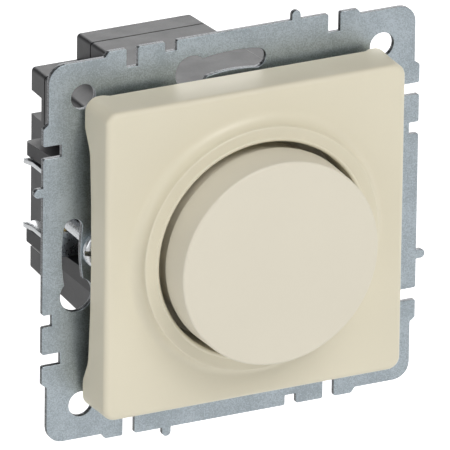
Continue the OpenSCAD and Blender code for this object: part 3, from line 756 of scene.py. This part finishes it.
def make_screws():
    """The claws' screws, and those that hold or clamp something."""
    for side, x in (("left", -CLAW_X), ("right", CLAW_X)):
        piece = screw(f"{side}_spreading_screw", head_r=3.7, seat=1.05, top=3.0, shank_r=1.5,
                      end=CLAW_SCREW_TIP, slot=(0.9, 1.1))
        stand_in(moved(piece, x, 0, 0), f"{side}_claw_screw")
    heads = [
        moved(screw("head", head_r=2.4, seat=1.0, top=2.2, shank_r=1.0, end=-8,
                    slot=(0.6, 0.7), cross=True, pitch=0.6), sx * POST_X, sy * POST_Y, 0)
        for sx in (-1, 1) for sy in (-1, 1)
    ]
    stand_in(joined("housing_fixings", heads), "housing_screws")
    over = Matrix.Rotation(math.pi, 4, "X")
    heads = [
        moved(screw("head", head_r=1.5, seat=-BOARD_BACK, top=22.7, shank_r=1.0, end=14,
                    slot=(0.4, 0.5), pitch=0.6), s * POST_X, s * POST_Y, 0, over)
        for s in (-1, 1)
    ]
    stand_in(joined("board_fixings", heads), "board_screws")
    piece = screw("cooling_screw", head_r=2.7, seat=1.0, top=2.6, shank_r=1.5, end=-5.2,
                  slot=(0.7, 0.7))
    stand_in(moved(piece, 0, TRIAC_SCREW_Y, 0), "triac_screw")
    for i, (sx, sy) in enumerate(TERMINAL_SIDES, 1):
        outwards = Matrix.Rotation(math.radians(90 * sx), 4, "Y")
        piece = screw(f"clamping_screw_{i}", head_r=2.0, seat=16.9, top=18.6, shank_r=1.5,
                      end=12.6, slot=(0.6, 0.8))
        stand_in(moved(piece, 0, sy * TERMINAL_Y, TERMINAL_Z, outwards), f"terminal_screw_{i}")


# --- Inside the housing ------------------------------------------------------------------


def swept(name, path, r, sides=8):
    """A round wire along a path of drawing points."""
    path = [Vector(p) for p in path]
    rings = []
    normal = Vector((0.31, 0.52, 0.8))
    for i, point in enumerate(path):
        ahead = (path[min(i + 1, len(path) - 1)] - path[max(i - 1, 0)]).normalized()
        normal = (normal - ahead * normal.dot(ahead)).normalized()
        side = ahead.cross(normal)
        rings.append([
            tuple(point + (normal * math.cos(t) + side * math.sin(t)) * r)
            for t in (2 * math.pi * k / sides for k in range(sides))
        ])
    return smoothed(loft(name, rings), 50)


def make_choke():
    """An enamelled wire wound round the ring core, its ends soldered to the board."""
    turns, steps, wire_r = 24, 16, 0.43
    half_width, half_height, squareness = 2.12, 3.52, 0.4
    path = []
    for i in range(turns * steps + 1):
        winding = 2 * math.pi * i / steps
        around = math.radians(-158 + 316 * i / (turns * steps))
        c, s = math.cos(winding), math.sin(winding)
        r = CHOKE_R + half_width * math.copysign(abs(c) ** squareness, c)
        z = CHOKE_Z + half_height * math.copysign(abs(s) ** squareness, s)
        path.append((r * math.cos(around), r * math.sin(around), z))
    for first in (True, False):
        x, y, z = path[0 if first else -1]
        lead = [(x * 1.02, y * 1.02, z + step) for step in (1.5, 3.5, BOARD_BACK - z + 0.2)]
        path = [*reversed(lead), *path] if first else [*path, *lead]
    piece = swept("choke_wire", path, wire_r)
    stand_in(dress(piece, "enamelled_copper"), "choke_winding")


def make_spring():
    """The return spring, on a mesh of its own."""
    r, wire_r, turns, steps = 1.9, 0.18, 5, 24
    flat_turn = 0.75
    path = []
    for i in range(turns * steps + 1):
        turn = i / steps
        rise = min(max((turn - flat_turn) / (turns - 2 * flat_turn), 0), 1)
        t = 2 * math.pi * turn
        z = SPRING_BACK + wire_r + (SPRING_FRONT - SPRING_BACK - 2 * wire_r) * rise
        path.append((r * math.cos(t), r * math.sin(t), z))
    piece = swept("return_coil", path, wire_r)
    stand_in(dress(piece, "spring_steel"), "return_spring")
    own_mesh(piece)


def turned_about(name, profile, count=32):
    """A piece turned about z from [radius, height] pairs, closed at both ends."""
    return smoothed(loft(name, [circle(r, z, count) for r, z in profile]), 40)


def make_resistors():
    """Lacquered resistors with colour bands on bent wires."""
    shape = [(0.3, -3.2), (0.75, -3.15), (1.05, -2.95), (1.15, -2.6), (1.15, -1.9),
             (0.98, -1.6), (0.98, 1.6), (1.15, 1.9), (1.15, 2.6), (1.05, 2.95),
             (0.75, 3.15), (0.3, 3.2)]
    colours = ("red_plastic", "enamelled_copper", "blackened_steel", "brass")
    parts = []
    along_x = Matrix.Rotation(math.radians(90), 4, "Y")
    for y in RESISTOR_ROWS:
        body = turned_about("body", shape)
        parts.append(dress(moved(body, 0, y, RESISTOR_Z, along_x), "resistor_lacquer"))
        for colour, z, r in zip(colours, (-2.3, -0.9, 0.3, 2.25), (1.15, 0.98, 0.98, 1.15)):
            band = turned_about("band", [(r - 0.2, z - 0.28), (r + 0.02, z - 0.27),
                                         (r + 0.02, z + 0.27), (r - 0.2, z + 0.28)])
            parts.append(dress(moved(band, 0, y, RESISTOR_Z, along_x), colour))
        for s in (-1, 1):
            bend = [(RESISTOR_SPAN + 0.5 * (math.sin(t) - 1),
                     RESISTOR_Z + 0.5 * (1 - math.cos(t))) for t in angles(0, 90, 7)]
            path = [(s * 3.0, y, RESISTOR_Z), *[(s * x, y, z) for x, z in bend],
                    (s * RESISTOR_SPAN, y, BOARD_BACK + 0.1)]
            parts.append(dress(swept("lead", path, 0.28), "tinned_pins"))
    stand_in(joined("banded_resistors", parts), "resistors")


def make_fuse():
    """End caps with rolled rims, and the fine wire between them."""
    along_y = Matrix.Rotation(math.radians(-90), 4, "X")
    parts = []
    for s in (-1, 1):
        profile = [(0.2, s * 10), (2.2, s * 10), (2.5, s * 9.85), (2.6, s * 9.6),
                   (2.6, s * 5.2), (2.66, s * 5.1), (2.6, s * 5.0), (2.32, s * 5.0),
                   (2.32, s * 9.55), (0.2, s * 9.6)]
        cap = moved(turned_about("cap", profile), FUSE_X, FUSE_Y, FUSE_Z, along_y)
        parts.append(dress(cap, "tinned_pins"))
    wire = [(FUSE_X + 1.1 * t, FUSE_Y + 9.4 * t, FUSE_Z + 0.25 * math.sin(3 * t))
            for t in np.linspace(-1, 1, 25)]
    parts.append(dress(swept("wire", wire, 0.06, 6), "tinned_pins"))
    stand_in(joined("fuse_ends", parts), "fuse_caps")


def make_board():
    """The board with copper tracks and solder joints on its pins."""
    card = rounded(copy_of("circuit_board", "card"), 0.1, 1, 60)
    parts = [dress(card, "circuit_laminate")]
    back_pins = [(i * PIN_PITCH, -10.8) for i in (-1, 0, 1)]
    back_pins += [(i * PIN_PITCH, 9.5) for i in (-1, 0, 1)] + [(-6.5, 0), (6.5, 0)]
    front_pins = [(s * RESISTOR_SPAN, y) for s in (-1, 1) for y in RESISTOR_ROWS]
    front_pins += [(-11.4, -15.4), (-7.4, -15.4), (-6.5, 18.0), (5.5, 18.0)]
    for pins, level, way in ((back_pins, BOARD_BACK, -1), (front_pins, BOARD_FRONT, 1)):
        for x, y in pins:
            joint = turned_about("joint", [
                (0.95, level - way * 0.02), (0.9, level + way * 0.05),
                (0.62, level + way * 0.2), (0.5, level + way * 0.42),
                (0.3, level + way * 0.56)], 16)
            parts.append(dress(moved(joint, x, y, 0), "tinned_pins"))
    tracks = (((-6.5, 0), (-6.5, 6.5), (-2.54, 9.5)), ((6.5, 0), (10, 3.5), (10, 11.8)),
              ((2.54, 9.5), (5.5, 12.5), (5.5, 15)), ((0, -10.8), (0, -8), (-8, -4), (-8, 8)))
    half_width = 0.45
    for path in tracks:
        for (ax, ay), (bx, by) in zip(path, path[1:]):
            half = (math.hypot(bx - ax, by - ay) + 0.8) / 2
            strip = block("track", (-half, -half_width, -0.02), (half, half_width, 0.045))
            turn = Matrix.Rotation(math.atan2(by - ay, bx - ax), 4, "Z")
            strip = moved(strip, (ax + bx) / 2, (ay + by) / 2, BOARD_FRONT, turn)
            parts.append(dress(strip, "contact_copper"))
    stand_in(joined("circuit_card", parts), "circuit_board")


def make_small_parts():
    """Moulded and punched pieces with their edges rounded as they are made."""
    for node, name, width, angle in (
        ("interference_capacitor", "film_block_capacitor", 0.5, 30),
        ("timing_capacitor", "film_drop_capacitor", 0.8, 30),
        ("trimmer", "trimmer_case", 0.25, 40),
        ("trimmer_rotor", "trimmer_disc", 0.08, 40),
        ("choke_core", "ring_core", 0.5, 40),
        ("triac", "power_switch", 0.1, 40),
        ("triac_nut", "cooling_nut", 0.15, 40),
        ("switch_case", "switch_shell", 0.25, 40),
        ("switch_slider", "switch_plunger", 0.15, 40),
        ("contact_bridge", "contact_bar", 0.06, 40),
        ("fixed_contacts", "contact_plates", 0.06, 40),
        ("pot_case", "potentiometer_shell", 0.2, 40),
        ("pot_rotor", "potentiometer_rotor", 0.12, 40),
        ("track_board", "track_card", 0.08, 40),
        ("pot_pins", "potentiometer_pins", 0.08, 40),
        ("terminal_tongues", "terminal_blades", 0.1, 40),
        ("terminal_cage_1", "clamp_cage_1", 0.12, 40),
        ("terminal_cage_2", "clamp_cage_2", 0.12, 40),
        ("terminal_cage_3", "clamp_cage_3", 0.12, 40),
        ("fuse_clips", "fuse_springs", 0.08, 40),
        ("bush_nut", "bush_hexagon", 0.25, 30),
        ("bush_washer", "bush_ring", 0.06, 40),
        ("knob_ring", "boss_ring", 0.06, 40),
        ("shaft", "flatted_shaft", 0.12, 40),
    ):
        piece = rounded(copy_of(node, name), width, 2, angle)
        stand_in(dress(piece, SLOT_OF[node]), node)


# --- Everything else keeps its CAD shape ---------------------------------------------------


def dress_nodes():
    """Gives each CAD node that stays its procedural material."""
    for node, piece in NODES.items():
        if not piece.hide_render:
            dress(piece, SLOT_OF[node])
            for face in piece.data.polygons:
                face.material_index = 0
            smoothed(piece, 30)


make_camera()
make_world()
softbox("key", (0.1, -0.8, 0.9), 1.6, (0.9, 0.9), 15, (1.0, 0.985, 0.96))
softbox("side", (-0.9, -0.4, 0.35), 1.6, (0.9, 0.9), 3.6)
softbox("rear", (0.5, 0.83, 0.39), 1.5, (1.9, 0.6), 9.5)
make_floor()
make_cover()
make_knob()
make_plate()
make_housing()
make_claws()
make_screws()
make_choke()
make_spring()
make_resistors()
make_fuse()
make_board()
make_small_parts()
dress_nodes()

bpy.context.scene.view_settings.view_transform = "Standard"
